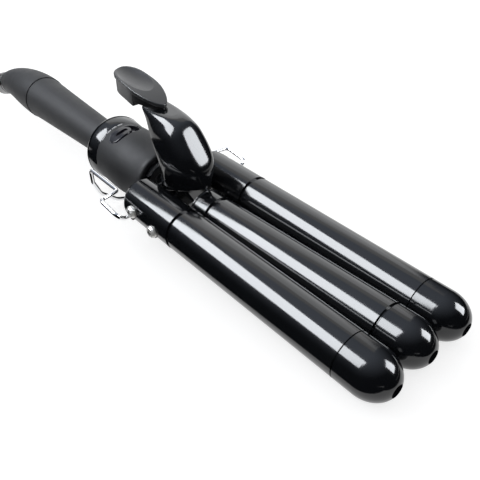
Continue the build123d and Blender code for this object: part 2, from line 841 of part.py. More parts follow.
mouth_ledge = plate_rear
collar_bore = housing_radii[0] - collar_wall
spigot_end = housing_rear - collar_spigot

# Front housing: a moulded shell with a counterbored mouth, a spigot for the collar, and openings for the
# switch and its lamp.
with BuildPart() as front_housing:
    with BuildSketch(handle_plane):
        with BuildLine():
            skin = Spline(
                (housing_rear, housing_radii[0]),
                (housing_belly, housing_radii[1]),
                (mouth_ledge - 1, housing_radii[1] - 1.2),
                (housing_front, housing_radii[2]),
                tangents=((1, 0.06), (0.55, -1)),
            )
            Polyline(
                skin @ 1,
                (housing_front, flange_radius),
                (mouth_ledge, flange_radius),
                (mouth_ledge, flange_radius - 1.5),
                (mouth_ledge - 2, flange_radius - 1.5),
                (mouth_ledge - 8, housing_radii[1] - housing_wall),
                (housing_belly, housing_radii[1] - housing_wall),
                (housing_rear, collar_bore - housing_wall),
                (spigot_end, collar_bore - housing_wall),
                (spigot_end, collar_bore),
                (housing_rear, collar_bore),
                skin @ 0,
            )
        make_face()
    revolve(axis=handle_axis)
    with BuildSketch(skin_plane(switch_x, window_angle)):
        SlotOverall(2 * window_half[1], 2 * window_half[0], rotation=90)
    extrude(amount=2 * window_floor, mode=Mode.SUBTRACT)
    with BuildSketch(skin_plane(*lamp_place)):
        Circle(lamp_radius)
    extrude(amount=2 * window_floor, mode=Mode.SUBTRACT)
front_housing.part.label = "front_housing"
export_step(front_housing.part.moved(on_table), "parts/front_housing.step")

# Switch bezel: an oval dish let into the housing, slotted for the knob's stem.
inner_half = (window_half[0] - window_rim, window_half[1] - window_rim)
with BuildPart() as switch_well:
    with BuildSketch(handle_plane):
        with Locations((switch_x, window_floor)):
            Rectangle(4 * window_half[0], window_floor, align=(Align.CENTER, Align.MIN))
    revolve(axis=handle_axis)
    with BuildSketch(skin_plane(switch_x, window_angle)):
        SlotOverall(2 * inner_half[1], 2 * inner_half[0], rotation=90)
    extrude(amount=3 * window_floor, mode=Mode.INTERSECT)
with BuildPart() as switch_bezel:
    with BuildSketch(handle_plane):
        with Locations((switch_x, window_back)):
            Rectangle(4 * window_half[0], window_face - window_back, align=(Align.CENTER, Align.MIN))
    revolve(axis=handle_axis)
    with BuildSketch(skin_plane(switch_x, window_angle)):
        SlotOverall(2 * window_half[1], 2 * window_half[0], rotation=90)
    extrude(amount=2 * window_floor, mode=Mode.INTERSECT)
    with BuildSketch(skin_plane(switch_x, window_angle)):
        SlotOverall(2 * stem_slot_half[1], 2 * stem_slot_half[0], rotation=90)
    extrude(amount=2 * window_floor, mode=Mode.SUBTRACT)
    add(switch_well.part, mode=Mode.SUBTRACT)
switch_bezel.part.label = "switch_bezel"
export_step(switch_bezel.part.moved(on_table), "parts/switch_bezel.step")

# Slider knob: an oval slider with a scoop for the fingertip, curved to the floor that it slides on.
knob_plane = skin_plane(switch_x, knob_angle)
knob_bottom = window_floor + pin_clearance
with BuildPart() as slider_knob:
    with BuildSketch(handle_plane):
        with Locations((switch_x, knob_bottom)):
            Rectangle(4 * knob_half[0], knob_top - knob_bottom, align=(Align.CENTER, Align.MIN))
    revolve(axis=handle_axis)
    with BuildSketch(knob_plane):
        SlotOverall(2 * knob_half[1], 2 * knob_half[0], rotation=90)
    extrude(amount=2 * window_floor, mode=Mode.INTERSECT)
    fillet(slider_knob.faces().sort_by(Axis(knob_plane.origin, knob_plane.z_dir))[-1].edges(), knob_edge)
    with BuildSketch(skin_plane(switch_x, scoop_angle).offset(knob_top - scoop_depth)):
        SlotOverall(2 * scoop_half[1], 2 * scoop_half[0], rotation=90)
    extrude(amount=window_floor, mode=Mode.SUBTRACT)
    with BuildSketch(knob_plane.offset(window_back - 0.2)):
        RectangleRounded(2 * stem_radius, 2 * stem_radius, 0.3)
    extrude(amount=window_floor - window_back + 0.8)
slider_knob.part.label = "slider_knob"
export_step(slider_knob.part.moved(on_table), "parts/slider_knob.step")

# Lamp: a clear red lens in the housing beyond the switch.
lamp_plane = skin_plane(*lamp_place)
with BuildPart() as lamp_lens:
    with BuildSketch(lamp_plane.offset(window_floor - 1)):
        Circle(lamp_radius)
    extrude(amount=window_face - window_floor + 1)
    fillet(lamp_lens.faces().sort_by(Axis(lamp_plane.origin, lamp_plane.z_dir))[-1].edges(), 0.4)
lamp_lens.part.label = "lamp_lens"
export_step(lamp_lens.part.moved(on_table), "parts/lamp_lens.step")

# Front plate: a disc behind the fork's flange, with two rails that carry the board.
rail_outer = 13.0
rail_top = handle_z + 8.2
with BuildPart() as front_plate:
    with BuildSketch(cross_plane(plate_rear, z=handle_z)):
        Circle(flange_radius)
        Circle(plate_hole, mode=Mode.SUBTRACT)
        with PolarLocations(fork_screw_circle, 4, start_angle=45):
            Circle(fork_screw[0], mode=Mode.SUBTRACT)
    extrude(amount=front_plate_thickness)
    for rail_y in (rail_outer - 1, 1 - rail_outer):
        with BuildSketch(cross_plane(plate_rear, y=rail_y, z=rail_top - 1.2)):
            Rectangle(2.0, 2.4)
        extrude(amount=plate_rear - rail_end, dir=(-1, 0, 0))
front_plate.part.label = "front_plate"
export_step(front_plate.part.moved(on_table), "parts/front_plate.step")

# Trim ring: a bright ring on the fork's flange, in two arcs, above and below its side plates.
with BuildPart() as trim_ring:
    with BuildSketch(cross_plane(housing_front, z=handle_z)):
        Circle(trim_radii[1])
        Circle(trim_radii[0], mode=Mode.SUBTRACT)
        Rectangle(2 * trim_radii[1], 2 * trim_gap, mode=Mode.SUBTRACT)
    extrude(amount=0.8)
trim_ring.part.label = "trim_ring"
export_step(trim_ring.part.moved(on_table), "parts/trim_ring.step")

# Core tube: the wires' way through the middle of the handle.
with BuildPart() as core_tube:
    with BuildSketch(cross_plane(core_rear, z=handle_z)):
        Circle(core_radius)
        Circle(core_radius - core_wall, mode=Mode.SUBTRACT)
    extrude(amount=core_front - core_rear)
core_tube.part.label = "core_tube"
export_step(core_tube.part.moved(on_table), "parts/core_tube.step")

# Control board on the rails, with the slide switch that the knob moves.
board_top = rail_top + board_size[2]
with BuildPart() as control_board:
    with BuildSketch(Plane((board_x, 0, rail_top))):
        Rectangle(board_size[0], board_size[1])
    extrude(amount=board_size[2])
control_board.part.label = "control_board"
export_step(control_board.part.moved(on_table), "parts/control_board.step")

with BuildPart() as slide_switch:
    with BuildSketch(Plane((switch_x, -4.0, board_top))):
        Rectangle(8.0, 7.0)
    extrude(amount=handle_z + 15.6 - board_top)
slide_switch.part.label = "slide_switch"
export_step(slide_switch.part.moved(on_table), "parts/slide_switch.step")

# Thermal fuse: a can that lies on the board.
with BuildPart() as thermal_fuse:
    with BuildSketch(cross_plane(board_x - 4, y=4, z=board_top + 2)):
        Circle(2.0)
    extrude(amount=11)
thermal_fuse.part.label = "thermal_fuse"
export_step(thermal_fuse.part.moved(on_table), "parts/thermal_fuse.step")

# Terminal block: butts against the core tube, inside the grip.
with BuildPart() as terminal_block:
    with BuildSketch(cross_plane(core_rear, z=handle_z)):
        RectangleRounded(12, 10, 1)
    extrude(amount=-14)
terminal_block.part.label = "terminal_block"
export_step(terminal_block.part.moved(on_table), "parts/terminal_block.step")

# Collar: a gloss ring that swells to a grooved, lipped rim and turns in to the grip behind it.
groove_x = collar_rim + 2 * collar_groove
with BuildPart() as collar:
    with BuildSketch(handle_plane):
        with BuildLine():
            swell = Spline(
                (housing_rear, housing_radii[0] - 0.3),
                (groove_x, collar_radius - 0.2),
                tangents=((-1, 0.5), (-1, 0.02)),
            )
            Polyline(
                swell @ 1,
                (groove_x, collar_radius - 0.2 - collar_groove),
                (collar_rim, collar_radius - 0.2 - collar_groove),
                (collar_rim, collar_radius),
            )
            lip = ThreePointArc(
                (collar_rim, collar_radius),
                (collar_rim - collar_lip, collar_radius - 0.5),
                (collar_rim - 2 * collar_lip, collar_radius - 2.2),
            )
            back = Spline(lip @ 1, (collar_rear, grip_radii[0] + 1.6), tangents=(lip % 1, (-1, -0.35)))
            Polyline(
                back @ 1,
                (collar_rear, grip_radii[0] + 0.45),
                (collar_rear + collar_wall, grip_radii[0] + 0.3),
                (collar_rim - collar_wall, collar_radius - 2 * collar_wall),
                (collar_rim + collar_wall, collar_radius - collar_wall - 1),
                (spigot_end, collar_bore),
                (housing_rear, collar_bore),
                swell @ 0,
            )
        make_face()
    revolve(axis=handle_axis)
collar.part.label = "collar"
export_step(collar.part.moved(on_table), "parts/collar.step")

# Grip: a long taper, waisted behind the collar, flanged inside it and open at its rear end.
with BuildPart() as grip:
    with BuildSketch(handle_plane):
        with BuildLine():
            taper = Spline(
                (grip_front, grip_radii[0]), (grip_middle, grip_radii[1]), (grip_rear, grip_radii[2])
            )
            Polyline(
                taper @ 1,
                (grip_rear, grip_radii[2] - grip_wall),
                (grip_middle, grip_radii[1] - grip_wall),
                (grip_front - grip_wall, grip_radii[0] - grip_wall),
                (grip_front - grip_wall, core_radius),
                (grip_front + grip_wall, core_radius),
                (grip_front + grip_wall, grip_flange),
                (grip_front, grip_flange),
                taper @ 0,
            )
        make_face()
    revolve(axis=handle_axis)
grip.part.label = "grip"
export_step(grip.part.moved(on_table), "parts/grip.step")


def tail_plane(x, z, droop):
    """A plane across the rear cap, facing back and down by the droop."""
    return Plane((x, 0, z), x_dir=(0, 1, 0), z_dir=(-cos(radians(droop)), 0, -sin(radians(droop))))


def tail_loft(sections, taken_in):
    """Lofts the rear cap's round sections, each taken in by a wall, into the part being built."""
    rounds = []
    for x, z, radius, droop in sections:
        with BuildSketch(tail_plane(x, z, droop)) as section:
            Circle(radius - taken_in)
        rounds.append(section.sketch)
    return rounds


# Rear cap: droops to the cord, plugged into the grip behind a narrow groove.
swivel_x, swivel_z, tail_radius, swivel_droop = tail_sections[-1]
swivel_plane = tail_plane(swivel_x, swivel_z, swivel_droop)
swivel_line = Plane(swivel_plane.origin, x_dir=swivel_plane.z_dir, z_dir=(0, -1, 0))
cap_front = tail_sections[0][0]
end_wall_face = swivel_plane.offset(-tail_end_wall)
cavity_sections = (
    (cap_front - tail_wall, *tail_sections[0][1:]),
    *tail_sections[1:3],
    (end_wall_face.origin.X, end_wall_face.origin.Z, tail_radius + 0.8, swivel_droop),
)
with BuildPart() as rear_cap:
    loft(sections=tail_loft(tail_sections, 0))
    loft(sections=tail_loft(cavity_sections, tail_wall), mode=Mode.SUBTRACT)
    with BuildSketch(cross_plane(cap_front - tail_wall, z=handle_z)):
        Circle(cap_neck[0])
    extrude(amount=tail_wall, mode=Mode.SUBTRACT)
    with BuildSketch(cross_plane(cap_front, z=handle_z)):
        Circle(grip_radii[2] - 0.6)
        Circle(cap_neck[0], mode=Mode.SUBTRACT)
    extrude(amount=grip_rear - cap_front)
    with BuildSketch(cross_plane(grip_rear, z=handle_z)):
        Circle(cap_neck[1])
        Circle(cap_neck[0], mode=Mode.SUBTRACT)
    extrude(amount=cap_neck[2])
    with BuildSketch(swivel_plane):
        Circle(swivel_neck + pin_clearance)
    extrude(amount=-2 * tail_end_wall, mode=Mode.SUBTRACT)
rear_cap.part.label = "rear_cap"
export_step(rear_cap.part.moved(on_table), "parts/rear_cap.step")

# ---- Cord swivel ----

swivel_axis = Axis(swivel_line.origin, swivel_line.x_dir)
neck_end = -tail_end_wall - 2.8

# Swivel sleeve: a short gloss sleeve whose neck turns in the rear cap's end wall.
with BuildPart() as swivel_sleeve:
    with BuildSketch(swivel_line):
        with BuildLine():
            Polyline(
                (neck_end, swivel_bore),
                (neck_end, swivel_neck),
                (clip_groove[0], swivel_neck),
                (clip_groove[0], clip_groove[2]),
                (clip_groove[1], clip_groove[2]),
                (clip_groove[1], swivel_neck),
                (swivel_gap, swivel_neck),
                (swivel_gap, swivel_radius - 0.5),
                (swivel_gap + 0.5, swivel_radius),
                (5.0, swivel_radius),
                (5.4, swivel_radius - 0.5),
                (6.2, swivel_radius - 0.5),
                (6.6, swivel_radius),
                (swivel_length - 1, swivel_radius),
                (swivel_length, swivel_radius - 1),
                (swivel_length, swivel_bore),
                close=True,
            )
        make_face()
    revolve(axis=swivel_axis)
swivel_sleeve.part.label = "swivel_sleeve"
export_step(swivel_sleeve.part.moved(on_table), "parts/swivel_sleeve.step")

# Swivel clip: a spring ring in the neck's groove, inside the end wall.
with BuildPart() as swivel_clip:
    with BuildSketch(swivel_plane.offset(clip_groove[0])):
        Circle(clip_radius)
        Circle(clip_groove[2], mode=Mode.SUBTRACT)
    extrude(amount=clip_groove[1] - clip_groove[0])
swivel_clip.part.label = "swivel_clip"
export_step(swivel_clip.part.moved(on_table), "parts/swivel_clip.step")

# Strain relief: a soft ribbed taper, plugged into the sleeve and bored for the cord.
relief_end = swivel_length + relief_length
rib_pitch = (relief_length - 3) / relief_ribs
relief_outline = []
for rib in range(relief_ribs):
    for along, inset in ((0.0, 0.0), (0.55, 0.0), (0.7, 1.2), (0.9, 1.2)):
        reach = (rib + along) * rib_pitch
        radius = relief_radii[0] + (relief_radii[1] - relief_radii[0]) * reach / relief_length - inset
        relief_outline.append((swivel_length + reach, radius))
with BuildPart() as strain_relief:
    with BuildSketch(swivel_line):
        with BuildLine():
            Polyline(
                (swivel_length - 10, 0),
                (swivel_length - 10, swivel_bore),
                (swivel_length, swivel_bore),
                *relief_outline,
                (relief_end, relief_radii[1]),
                (relief_end, cord_radius + 0.1),
                (relief_end - relief_socket, cord_radius + 0.1),
                (relief_end - relief_socket, 0),
                close=True,
            )
        make_face()
    revolve(axis=swivel_axis)
strain_relief.part.label = "strain_relief"
export_step(strain_relief.part.moved(on_table), "parts/strain_relief.step")

# ---- Wire stand ----

# Wire stand: one bent chrome wire, sprung into the holders at both ends.
other_half = [(x, -y, z) for x, y, z in reversed(stand_half)]
stand_route = [*stand_half, *other_half]
with BuildPart() as wire_stand:
    with BuildLine():
        FilletPolyline(*stand_route, radius=stand_bends)
    with BuildSketch(Plane(stand_half[0], z_dir=(0, 1, 0))):
        Circle(wire_radius)
    sweep()
wire_stand.part.label = "wire_stand"
export_step(wire_stand.part.moved(on_table), "parts/wire_stand.step")

# ---- Cord ----

# Cord: straight runs joined by large arcs, from the strain relief down to the table and into the coil.
cord_points = []
for reach in (relief_end - relief_socket, relief_end + cord_lead):
    cord_points.append((on_table * Location(swivel_line.from_local_coords((reach, 0, 0)))).position)
cord_points.extend(Vector(point) for point in cord_route)
cord_radii = []
for before, corner, after in zip(cord_points, cord_points[1:], cord_points[2:]):
    arriving = corner - before
    leaving = after - corner
    shorter = min(arriving.length, leaving.length)
    cord_radii.append(0.45 * shorter / tan(radians(arriving.get_angle(leaving) / 2)))
print("cord bend radii", [round(radius) for radius in cord_radii])
with BuildPart() as cord:
    with BuildLine() as cord_line:
        FilletPolyline(*cord_points, radius=cord_radii)
    with BuildSketch(Plane(cord_points[0], z_dir=cord_points[1] - cord_points[0])):
        Circle(cord_radius)
    sweep()
tube_length = cord_line.wires()[0].length
cord.part.label = "cord"
export_step(cord.part, "parts/cord.step")

# Coil: the rest of the lead, wound flat for storage, as the outer form of its turns.
coil_x, coil_y = coil_centre
coil_inside = coil_mid_radius - coil_half_width
coil_outside = coil_mid_radius + coil_half_width
crown_half, shoulder_height = coil_shoulder
with BuildPart() as cord_coil:
    with BuildSketch(side_plane(x=coil_x, y=coil_y)):
        with BuildLine():
            Polyline(
                (coil_inside, 0),
                (coil_outside, 0),
                (coil_outside, shoulder_height),
                (coil_mid_radius + crown_half, coil_height),
                (coil_mid_radius - crown_half, coil_height),
                (coil_inside, shoulder_height),
                close=True,
            )
        make_face()
    revolve(axis=Axis((coil_x, coil_y, 0), (0, 0, 1)))
cord_coil.part.label = "cord_coil"
export_step(cord_coil.part, "parts/cord_coil.step")

# Plug: a rounded two-pin plug with a tapered boot, laid on the coil.
plug_x = coil_x + plug_place[0]
plug_y = coil_y + plug_place[1]
plug_z = coil_height + plug_body[2] / 2
boot_radius, boot_length, boot_taper = plug_boot
with BuildPart() as plug:
    with BuildSketch(Plane((plug_x, plug_y, coil_height))):
        RectangleRounded(plug_body[0], plug_body[1], 7)
    extrude(amount=plug_body[2])
    fillet(plug.faces().sort_by(Axis.Z)[-1].edges() + plug.faces().sort_by(Axis.Z)[0].edges(), radius=2)
    with BuildSketch(Plane((plug_x + plug_body[0] / 2 - 1, plug_y, plug_z), z_dir=(1, 0, 0))):
        Circle(boot_radius)
    extrude(amount=boot_length + 1, taper=boot_taper)
plug.part.label = "plug"
export_step(plug.part, "parts/plug.step")

with BuildPart() as plug_pins:
    with BuildSketch(Plane((plug_x - plug_body[0] / 2, plug_y, plug_z), x_dir=(0, 1, 0), z_dir=(-1, 0, 0))):
        with GridLocations(plug_pin_pitch, 1, 2, 1):
            Circle(plug_pin_radius)
    extrude(amount=plug_pin_length)
    fillet(plug_pins.faces().sort_by(Axis.X)[:2].edges(), radius=1)
plug_pins.part.label = "plug_pins"
export_step(plug_pins.part, "parts/plug_pins.step")

section_area = pi * cord_radius**2
print("cord", round(cord.part.volume), "of", round(section_area * tube_length))
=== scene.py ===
import math

import bmesh
import bpy
from mathutils import Matrix, Vector


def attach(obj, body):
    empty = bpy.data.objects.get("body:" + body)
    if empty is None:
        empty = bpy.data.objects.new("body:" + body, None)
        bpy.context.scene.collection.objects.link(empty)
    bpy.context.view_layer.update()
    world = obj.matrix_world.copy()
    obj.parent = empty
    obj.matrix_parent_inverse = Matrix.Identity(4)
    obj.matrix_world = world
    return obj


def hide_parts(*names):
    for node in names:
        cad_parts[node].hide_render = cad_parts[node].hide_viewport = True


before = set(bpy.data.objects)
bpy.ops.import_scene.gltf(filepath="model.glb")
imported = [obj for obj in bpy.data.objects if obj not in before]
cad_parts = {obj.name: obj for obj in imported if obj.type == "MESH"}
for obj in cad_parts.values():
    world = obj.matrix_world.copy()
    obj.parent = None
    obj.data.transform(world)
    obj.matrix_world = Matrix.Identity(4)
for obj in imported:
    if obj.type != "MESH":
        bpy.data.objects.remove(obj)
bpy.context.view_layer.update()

# ---- Camera ----
# A short telephoto held above the barrel tips on the tool's right, looking back along the
# iron to its cord.
camera_data = bpy.data.cameras.new("studio_camera")
camera_data.sensor_width = 36.0
camera_data.lens = 43.0
camera_data.clip_start = 0.01
camera_data.clip_end = 20.0
camera = bpy.data.objects.new("studio_camera", camera_data)
camera.location = (0.325909, -0.173112, 0.196008)
camera.rotation_euler = (math.radians(55.6492), math.radians(2.1494), math.radians(48.6891))
bpy.context.scene.collection.objects.link(camera)
bpy.context.scene.camera = camera

# ---- Mains cord ----
# A 6.5 mm round lead with a black PVC jacket. It droops from the swivel to the table and
# its spare length is wound in three layers, with the plug laid on top of the coil.
cord_diameter = 0.0065
cord_lead = [
    (-0.2385, 0.0, 0.0177),
    (-0.2597, 0.0, 0.0119),
    (-0.2785, 0.0, 0.0076),
    (-0.2960, -0.0016, 0.0042),
    (-0.3090, -0.0060, 0.0034),
    (-0.3206, -0.0127, 0.0033),
]
coil_centre = Vector((-0.320, -0.063, 0.0))
coil_start_angle = 120.0
# Each stop on the winding: turns made so far in degrees, lane radius, height of the centre.
winding_stops = [
    (0, 0.0446, 0.00330),
    (60, 0.0441, 0.00330),
    (280, 0.0441, 0.00330),
    (340, 0.0375, 0.00330),
    (640, 0.0375, 0.00330),
    (700, 0.0310, 0.00330),
    (900, 0.0310, 0.00330),
    (990, 0.0310, 0.00985),
    (1210, 0.0310, 0.00985),
    (1270, 0.0375, 0.00985),
    (1570, 0.0375, 0.00985),
    (1630, 0.0440, 0.00985),
    (1830, 0.0440, 0.00985),
    (1920, 0.0440, 0.01640),
    (1950, 0.0440, 0.01640),
    (2010, 0.0375, 0.01640),
    (2270, 0.0375, 0.01640),
]
points_per_turn = 18
# The last turn climbs over the one that came before it and swings in to the plug. Each stop
# is an angle round the coil, a radius and a height.
tail_turns = [
    (250, 0.0380, 0.0166),
    (270, 0.0380, 0.0185),
    (290, 0.0384, 0.0213),
    (310, 0.0392, 0.0236),
    (330, 0.0406, 0.0248),
    (350, 0.0424, 0.0257),
    (10, 0.0444, 0.0262),
]
cord_tail = [
    (-0.2798, -0.0434, 0.0263),
    (-0.2858, -0.0360, 0.0263),
    (-0.2938, -0.0308, 0.0263),
    (-0.3031, -0.0286, 0.0263),
    (-0.3120, -0.0290, 0.0263),
    (-0.3180, -0.0290, 0.0263),
]


def lane_at(turned):
    """Radius and height of the winding after so many degrees."""
    for (start, *lane), (end, *next_lane) in zip(winding_stops, winding_stops[1:]):
        if turned <= end:
            share = (turned - start) / (end - start)
            share = share * share * (3 - 2 * share)
            return [here + (there - here) * share for here, there in zip(lane, next_lane)]
    return winding_stops[-1][1:]


def coil_point(degrees, radius, height):
    """A place on the coil at so many degrees round it, a radius and a height."""
    angle = math.radians(degrees)
    return coil_centre + Vector((math.cos(angle) * radius, math.sin(angle) * radius, height))


# The middle of each span takes an eighth, six eighths and an eighth of three points in a row,
# so the points stand outside their lane by this much to bring the lead onto it.
turn_step = 360 / points_per_turn
reach = 8 / (6 + 2 * math.cos(math.radians(turn_step)))
cord_route = [Vector(place) for place in cord_lead]
turned = turn_step / 2
while turned < winding_stops[-1][0]:
    radius, height = lane_at(turned)
    cord_route.append(coil_point(coil_start_angle + turned, radius * reach, height))
    turned += turn_step
cord_route += [coil_point(*stop) for stop in tail_turns]
cord_route += [Vector(place) for place in cord_tail]

cord_curve = bpy.data.curves.new("mains_cord", "CURVE")
cord_curve.dimensions = "3D"
cord_curve.bevel_depth = cord_diameter / 2
cord_curve.bevel_resolution = 6
cord_curve.resolution_u = 6
cord_curve.use_fill_caps = True
cord_line = cord_curve.splines.new("NURBS")
cord_line.points.add(len(cord_route) - 1)
for point, place in zip(cord_line.points, cord_route):
    point.co = (*place, 1)
cord_line.order_u = 3
cord_line.use_endpoint_u = True
mains_cord = bpy.data.objects.new("mains_cord", cord_curve)
bpy.context.scene.collection.objects.link(mains_cord)


def finish_for(name, colour, second, patch, roughness, spread, grain, relief, metal=0.0, ior=1.5):
    """A moulded, plated or painted finish: soft patches of two colours, uneven polish, a fine grain.

    patch and grain are the scales of the two noises, spread is how far the roughness strays
    over the patches, and relief is the grain's height in metres.
    """
    material = bpy.data.materials.new(name)
    material.use_nodes = True
    nodes, links = material.node_tree.nodes, material.node_tree.links
    shader = nodes["Principled BSDF"]
    shader.inputs["Metallic"].default_value = metal
    shader.inputs["IOR"].default_value = ior
    place = nodes.new("ShaderNodeTexCoord")
    patches = nodes.new("ShaderNodeTexNoise")
    patches.inputs["Scale"].default_value = patch
    patches.inputs["Detail"].default_value = 4.0
    tint = nodes.new("ShaderNodeMix")
    tint.data_type = "RGBA"
    tint.inputs["A"].default_value = (*colour, 1)
    tint.inputs["B"].default_value = (*second, 1)
    polish = nodes.new("ShaderNodeMapRange")
    polish.inputs["From Min"].default_value = 0.3
    polish.inputs["From Max"].default_value = 0.7
    polish.inputs["To Min"].default_value = roughness - spread
    polish.inputs["To Max"].default_value = roughness + spread
    specks = nodes.new("ShaderNodeTexNoise")
    specks.inputs["Scale"].default_value = grain
    specks.inputs["Detail"].default_value = 3.0
    bump = nodes.new("ShaderNodeBump")
    bump.inputs["Strength"].default_value = 1.0
    bump.inputs["Distance"].default_value = relief
    links.new(place.outputs["Object"], patches.inputs["Vector"])
    links.new(place.outputs["Object"], specks.inputs["Vector"])
    links.new(patches.outputs["Fac"], tint.inputs["Factor"])
    links.new(tint.outputs["Result"], shader.inputs["Base Color"])
    links.new(patches.outputs["Fac"], polish.inputs["Value"])
    links.new(polish.outputs["Result"], shader.inputs["Roughness"])
    links.new(specks.outputs["Fac"], bump.inputs["Height"])
    links.new(bump.outputs["Normal"], shader.inputs["Normal"])
    return material


def dress(material, *names):
    """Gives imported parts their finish."""
    for name in names:
        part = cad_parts[name]
        part.data.materials.clear()
        part.data.materials.append(material)


cord_jacket = finish_for(
    "cord_jacket", (0.011, 0.011, 0.012), (0.018, 0.018, 0.019),
    patch=60, roughness=0.36, spread=0.06, grain=1400, relief=0.00002,
)
plug_moulding = finish_for(
    "plug_moulding", (0.012, 0.012, 0.013), (0.020, 0.020, 0.021),
    patch=90, roughness=0.45, spread=0.06, grain=1100, relief=0.00004,
)
pin_nickel = finish_for(
    "pin_nickel", (0.62, 0.60, 0.56), (0.72, 0.70, 0.66),
    patch=200, roughness=0.22, spread=0.06, grain=2500, relief=0.000004, metal=1.0,
)
cord_curve.materials.append(cord_jacket)
dress(plug_moulding, "plug")
dress(pin_nickel, "plug_pins")
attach(mains_cord, "handle")
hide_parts("cord", "cord_coil")

# ---- Swivel and strain relief ----
# The lead leaves through a soft ribbed taper, plugged into a short sleeve whose neck turns in
# the rear cap's end wall. A spring clip in the neck's groove holds it there.
relief_rubber = finish_for(
    "relief_rubber", (0.010, 0.010, 0.011), (0.016, 0.016, 0.017),
    patch=120, roughness=0.26, spread=0.05, grain=1200, relief=0.00002,
)
dress(relief_rubber, "strain_relief", "swivel_sleeve")

# ---- Barrels ----
# Three drawn aluminium tubes with a fired black ceramic coat, polished to a mirror. The
# cast heat spreaders and the heater plates are inside them.
ceramic_coat = finish_for(
    "ceramic_coat", (0.0050, 0.0056, 0.0070), (0.0070, 0.0078, 0.0095),
    patch=40, roughness=0.12, spread=0.02, grain=700, relief=0.000002, ior=1.55,
)
cast_metal = finish_for(
    "cast_metal", (0.45, 0.45, 0.46), (0.55, 0.55, 0.56),
    patch=300, roughness=0.45, spread=0.08, grain=1500, relief=0.00003, metal=1.0,
)
heater_plate = finish_for(
    "heater_plate", (0.70, 0.66, 0.60), (0.80, 0.77, 0.72),
    patch=200, roughness=0.55, spread=0.08, grain=1500, relief=0.00002,
)
dress(ceramic_coat, "left_barrel", "middle_barrel", "right_barrel")
dress(cast_metal, "left_heat_spreader", "middle_heat_spreader", "right_heat_spreader")
dress(heater_plate, "left_heater", "middle_heater", "right_heater")

# ---- Tip caps ----
# Cool ends moulded in glass-filled nylon with a high gloss. One screw down the hole in
# each dome holds the cap to its heat spreader.
gloss_moulding = finish_for(
    "gloss_moulding", (0.0050, 0.0056, 0.0070), (0.0070, 0.0078, 0.0095),
    patch=70, roughness=0.12, spread=0.03, grain=500, relief=0.000006, ior=1.52,
)
screw_steel = finish_for(
    "screw_steel", (0.50, 0.50, 0.50), (0.62, 0.62, 0.62),
    patch=400, roughness=0.28, spread=0.06, grain=2500, relief=0.00001, metal=1.0,
)
dress(gloss_moulding, "left_tip_cap", "middle_tip_cap", "right_tip_cap")
dress(screw_steel, "left_cap_screw", "middle_cap_screw", "right_cap_screw")

# ---- Barrel holders ----
# Rings, holders, sleeve and fork of the same gloss nylon. Two plated screws with cross slots
# stand in each outer holder's side: the rear one bites into the fork and the front one holds
# the ring.
screw_centres = ((0.06903, 0.02558), (0.08874, 0.02120))
slot_across = 0.04067
slot_reach = 0.0018
slot_half_width = 0.00042
slot_thickness = 0.0006
weld_distance = 0.000001


def piece_of(name, form, material):
    """Makes an object of one material from a finished bmesh."""
    mesh = bpy.data.meshes.new(name)
    form.to_mesh(mesh)
    form.free()
    mesh.materials.append(material)
    piece = bpy.data.objects.new(name, mesh)
    bpy.context.scene.collection.objects.link(piece)
    return piece


screw_plate = finish_for(
    "screw_plate", (0.84, 0.83, 0.80), (0.90, 0.89, 0.86),
    patch=400, roughness=0.34, spread=0.05, grain=2500, relief=0.00001, metal=0.55,
)
slot_shadow = finish_for(
    "slot_shadow", (0.010, 0.010, 0.010), (0.020, 0.020, 0.020),
    patch=300, roughness=0.5, spread=0.05, grain=2500, relief=0.00001, metal=0.5,
)
dress(gloss_moulding, "left_ring", "middle_ring", "right_ring")
dress(gloss_moulding, "left_holder", "right_holder", "middle_sleeve", "fork")
dress(screw_plate, "holder_screws")

# Each cross is a thin dark block of painted shade for the slot's hollow. It starts as a small block, and
# its four flanks grow into the arms.
slot_form = bmesh.new()
for side in (1, -1):
    for screw_x, screw_z in screw_centres:
        block = bmesh.ops.create_cube(slot_form, size=1.0)["verts"]
        block_size = (2 * slot_half_width, slot_thickness, 2 * slot_half_width)
        bmesh.ops.scale(slot_form, vec=block_size, verts=block)
        block_faces = {face for vertex in block for face in vertex.link_faces}
        flanks = [face for face in block_faces if abs(face.normal.y) < 0.5]
        arm_ends = bmesh.ops.extrude_discrete_faces(slot_form, faces=flanks)["faces"]
        for face in arm_ends:
            arm = face.normal * (slot_reach - slot_half_width)
            bmesh.ops.translate(slot_form, vec=arm, verts=face.verts)
        cross = list({*block, *(vertex for face in arm_ends for vertex in face.verts)})
        bmesh.ops.translate(slot_form, vec=(screw_x, side * slot_across, screw_z), verts=cross)
bmesh.ops.remove_doubles(slot_form, verts=slot_form.verts, dist=weld_distance)
bmesh.ops.recalc_face_normals(slot_form, faces=slot_form.faces)
screw_slot_shade = piece_of("screw_slot_shade", slot_form, slot_shadow)
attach(screw_slot_shade, "handle")

# ---- Hinge ----
# A steel pin through the fork carries the clamp arm, and a music-wire torsion spring on its
# hub closes it. One end of the spring follows the arm and the other stays with the fork.
black_oxide = finish_for(
    "black_oxide", (0.03, 0.03, 0.03), (0.05, 0.05, 0.05),
    patch=400, roughness=0.35, spread=0.06, grain=2500, relief=0.00001, metal=0.8,
)
dress(screw_steel, "hinge_pin", "lever_screws", "swivel_clip")
dress(black_oxide, "fork_screws")

